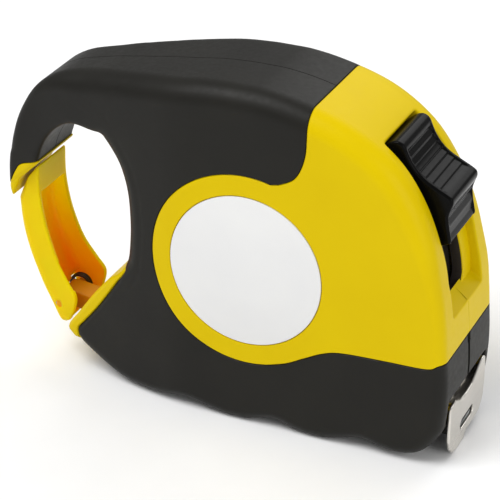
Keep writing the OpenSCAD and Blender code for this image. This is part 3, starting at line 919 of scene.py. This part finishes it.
def add_gate():
    """Gate of the carabiner: a channel open to the loop, solid at its tip."""
    outline = np.vstack([curve(GATE_OUTER), GATE_TIP, curve(GATE_INNER)])
    chart = Chart(outline, step=0.1)
    back_z = np.array([p[1] for p in GATE_OUTER])
    back_x = np.array([p[0] for p in GATE_OUTER])

    def from_back(x, z):
        """How far a point lies in front of the gate's back."""
        return x - np.interp(z, back_z, back_x)

    def outside(points):
        """Distance to the gate before it is hollowed."""
        x, y, z = points.T
        radius = 0.5 + 1.1 * ramp(from_back(x, z), 3.5, 2)
        return slab(chart(x, z), np.abs(y) - gate_half(x), radius)

    def channel(points):
        """Distance to the hollow that opens to the loop."""
        x, y, z = points.T
        open_side = np.minimum(chart(x, z) + GATE_BACK, chart(x - 2, z - 0.6))
        space = smooth_max(open_side, np.abs(y) - gate_half(x) + GATE_WALL, 2.4)
        return smooth_max(space, z - 3, 0.3)

    def hinge_room(points):
        """Distance to the room for the tongue and the spring's coil."""
        x, y, z = points.T
        sweep = np.maximum(np.abs(z - PIN[1] - 0.4) - 3.4, PIN[0] - x)
        tongue = np.maximum(np.minimum(round_pin(x, z, 2.5), sweep), np.abs(y) - TONGUE_HALF - 0.3)
        coil = np.maximum(round_pin(x, z, 3.2), np.abs(y - 4.4) - 1.5)
        return np.minimum(tongue, coil)

    def slit(points):
        """Distance to the narrow slit along the near wall."""
        x, y, z = points.T
        thin = np.abs(y + gate_half(x) - 1.0) - 0.28
        return np.maximum(np.maximum(thin, np.abs(z + 18.4) - 3.4), 2.6 - from_back(x, z))

    def dimple(points):
        """Distance to the dimples at the ends of the pin."""
        x, y, z = points.T
        return np.maximum(round_pin(x, z, 1.1), gate_half(x) - 0.3 - np.abs(y))

    def gate(points):
        """Distance to the finished gate."""
        shape = smooth_max(outside(points), -channel(points), 0.3)
        shape = smooth_max(shape, -hinge_room(points), 0.3)
        shape = smooth_max(shape, -slit(points), 0.1)
        return smooth_max(shape, -dimple(points), 0.35)

    points, quads = surface_net(gate, [-67.5, -8.8, -32.5], [-48.5, 8.8, 11],
                                0.3 if FINE else 0.5)
    tris = triangles(quads)
    points, tris = cut(points, tris, outside(points) + 0.3)
    points, tris = weld(points, tris)
    centre = points[tris].mean(1)
    # Faces inside the channel take the inside colour, painted shade; the tip's face towards the loop
    # takes the pale cap colour, painted light.
    part = np.where(outside(centre) < -0.3, 1, 0)
    inner_face = chart(centre[:, 0] - 0.35, centre[:, 2]) > -0.02
    part = np.where((part == 0) & inner_face & (centre[:, 2] > 2.9) & (centre[:, 2] < 9.2)
                    & (centre[:, 0] > -60.5), 2, part)
    fit_out(add_object("gate_shell", points, tris, [GATE_YELLOW, GATE_INSIDE_SHADE, GATE_CAP_LIT], part,
                       50), "gate", "yellow_gate", "carabiner_gate")


def add_tongue():
    """Tongue of the case between the gate's walls, round the hinge pin."""
    def tongue(points):
        """Distance to the tongue, which widens towards the case."""
        x, y, z = points.T
        run = TONGUE_ROOT - PIN
        place = np.stack([x, z], -1) - PIN
        share = np.clip(place @ run / (run @ run), 0, 1)
        away = np.linalg.norm(place - share[..., None] * run, axis=-1)
        return slab(away - 2.1 - 0.4 * share, np.abs(y) - TONGUE_HALF, 0.4)

    points, quads = surface_net(tongue, [-58, -3.5, -31.5], [-43, 3.5, -23.5], 0.25)
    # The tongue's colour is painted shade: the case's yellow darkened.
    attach(add_object("hinge_tongue", points, quads, [HINGE_SHADE]), "case")


def add_gate_spring():
    """Torsion spring on the pin beside the tongue, with one leg up the gate's back wall."""
    turn_r, wire_r, start, pitch, turns = 2.5, 0.4, 3.75, 0.84, 1.8
    steps = np.linspace(0, 2 * math.pi * turns, 150)
    path = np.stack([PIN[0] - turn_r * np.cos(steps), start + pitch * steps / (2 * math.pi),
                     PIN[1] + turn_r * np.sin(steps)], 1)
    leg = path[:1] + np.linspace(5.5, 0.2, 12)[:, None] * [[-0.28, 0, 0.96]]
    path = np.vstack([leg, path])
    along = np.gradient(path, axis=0)
    along /= np.linalg.norm(along, axis=1)[:, None]
    side = np.cross(along, [0, 1, 0])
    side /= np.linalg.norm(side, axis=1)[:, None]
    lift = np.cross(side, along)
    sides = 12
    ring = np.linspace(0, 2 * math.pi, sides, endpoint=False)
    points = (path[:, None] + wire_r * (np.cos(ring)[None, :, None] * side[:, None]
                                        + np.sin(ring)[None, :, None] * lift[:, None]))
    number = np.arange(points.shape[0] * sides).reshape(-1, sides)
    turned = np.roll(number, -1, axis=1)
    faces = np.stack([number[:-1], number[1:], turned[1:], turned[:-1]], -1).reshape(-1, 4)
    caps = [[rim[i], rim[i + 1], rim[sides - 2 - i], rim[sides - 1 - i]]
            for rim in (number[0], number[-1][::-1]) for i in range(sides // 2 - 1)]
    coil = add_object("spring_coil", points.reshape(-1, 3), np.vstack([faces, caps]), [SPRING])
    turn_outwards(coil)
    fit_out(coil, "case", "spring_steel", "gate_spring")


add_gate()
add_tongue()
add_gate_spring()


# ---------------------------------------------------------------- end hook
def add_hook():
    """Stamped end hook: a plate with ears, a nail slot and a bottom notch, and its tongue."""
    thick = 0.8
    half = 12.2
    low = -41
    ear = -25.4
    slot_z, slot_half, slot_rise = -36, 4.5, 1.3
    tongue_half, tongue_middle, tongue_reach = 9.4, 45, 4.6
    dip = [[8.6, ear - 0.5], [6.2, -27.2], [3.2, -28.6], [0, -29]]
    far = [[-0.9, low + 1.1], [0, low + 1.3], [6.4, low + 1.4], [9.2, -39.2], [11, -37.6],
           [11.9, -35.8], [half, -33.4], [half, ear - 1.5], [half - 0.3, ear - 0.4],
           [half - 1, ear], [10, ear]]
    near = [[-1.1, low], [-6.6, low - 0.1], [-9.4, -40.5], [-11.2, -38.8], [-12, -36.4],
            [-half, -33.4], [-half, ear - 2.5], [0.2 - half, ear - 1.9], [0.8 - half, ear - 1.6],
            [-9.8, ear - 1.6]]
    far_dip, near_dip = np.array(dip), np.array(dip[:-1]) * [-1, 1] - [0, 0.7]
    outline = np.vstack([near[::-1], far, far_dip, near_dip[::-1]])
    chart = Chart(outline, step=0.08, margin=3)

    def hook(points):
        """Distance to the hook."""
        x, y, z = points.T
        slot = block(y, z - slot_z, slot_half, slot_rise, 1.25)
        flat = smooth_max(chart(y, z), -slot, 0.12)
        plate = slab(flat, np.abs(x - HOOK_X - thick / 2 - 0.05) - thick / 2, 0.28)
        around = np.hypot(y, z - BLADE_Z - BLADE_CURVE_R) - BLADE_CURVE_R + 0.5
        flat_tongue = np.maximum(np.abs(y) - tongue_half, np.abs(x - tongue_middle) - tongue_reach)
        tongue = slab(flat_tongue, np.abs(around) - 0.3, 0.15)
        tongue = np.maximum(tongue, z + 20)
        return smooth_min(plate, tongue, 0.3)

    points, quads = surface_net(hook, [39.5, -12.9, -42], [51, 12.9, -24], 0.2 if FINE else 0.3)
    fit_out(add_object("hook_plate", points, quads, [NICKEL], sharp=50), "hook", "nickel_hook",
            "end_hook")


add_hook()

# ---------------------------------------------------------------- camera, light and floor
AZIMUTH = math.radians(24.49)
ELEVATION = math.radians(28.41)
DISTANCE = 496.1
SENSOR = 36
LENS = 150.1
LOOK_AT = np.array([-6.26, 0, -4.0])


def add_camera():
    """The camera at the angle of the reference view."""
    data = bpy.data.cameras.new("camera")
    data.sensor_width = SENSOR
    data.lens = LENS
    camera = bpy.data.objects.new("camera", data)
    towards = Vector((math.cos(ELEVATION) * math.sin(AZIMUTH),
                      -math.cos(ELEVATION) * math.cos(AZIMUTH), math.sin(ELEVATION)))
    camera.location = Vector(LOOK_AT * MM + LABEL) + towards * DISTANCE * MM
    camera.rotation_euler = (-towards).to_track_quat("-Z", "Y").to_euler()
    bpy.context.scene.collection.objects.link(camera)
    bpy.context.scene.camera = camera


def add_light(name, place, size, power):
    """A square soft light that looks at the middle of the tape measure."""
    data = bpy.data.lights.new(name, "AREA")
    data.size = size
    data.energy = power
    light = bpy.data.objects.new(name, data)
    light.location = place
    light.rotation_euler = (Vector(LABEL) - Vector(place)).to_track_quat("-Z", "Y").to_euler()
    bpy.context.scene.collection.objects.link(light)


def add_floor():
    """A pale sweep under the tape measure."""
    mesh = bpy.data.meshes.new("floor")
    reach = 3.0
    mesh.from_pydata([(-reach, -reach, 0), (reach, -reach, 0), (reach, reach, 0),
                      (-reach, reach, 0)], [], [(0, 1, 2, 3)])
    mesh.materials.append(finish("floor_paper", linear(250, 250, 250), linear(248, 248, 248),
                                 (0.8, 0.9), grain=400, bump=0.02))
    floor = bpy.data.objects.new("floor", mesh)
    bpy.context.scene.collection.objects.link(floor)


add_camera()
add_floor()
add_light("key", (-0.35, -0.45, 1.0), 0.6, 8.4)
add_light("front", (0.95, -0.4, 0.45), 0.6, 3.5)
add_light("back", (0.1, 0.8, 0.8), 0.8, 4)
world = bpy.data.worlds.new("studio")
world.use_nodes = True
world.node_tree.nodes["Background"].inputs["Color"].default_value = (1, 1, 1, 1)
world.node_tree.nodes["Background"].inputs["Strength"].default_value = 0.42
bpy.context.scene.world = world
bpy.context.scene.view_settings.view_transform = "Standard"

# ---------------------------------------------------------------- finishes of the CAD parts
NODE_FINISH = {
    "label_disc": LABEL_WHITE, "case_screws": STEEL, "reel_axle": STEEL, "reel_drum": REEL,
    "reel_cover": REEL, "power_spring": SPRING, "blade_coil": BLADE, "blade_lead": BLADE,
    "blade_guide": INNER_PLASTIC_AND_SHADE, "hook_bumper": RUBBER, "end_hook": NICKEL, "hook_rivets": NICKEL,
    "lock_button": BUTTON, "lock_strip": SPRING, "lock_shoe": RUBBER,
    "carabiner_gate": GATE_YELLOW, "gate_pin": STEEL, "gate_spring": SPRING}
for node_name, node_finish in NODE_FINISH.items():
    node_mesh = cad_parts[node_name].data
    node_mesh.materials.clear()
    node_mesh.materials.append(node_finish)
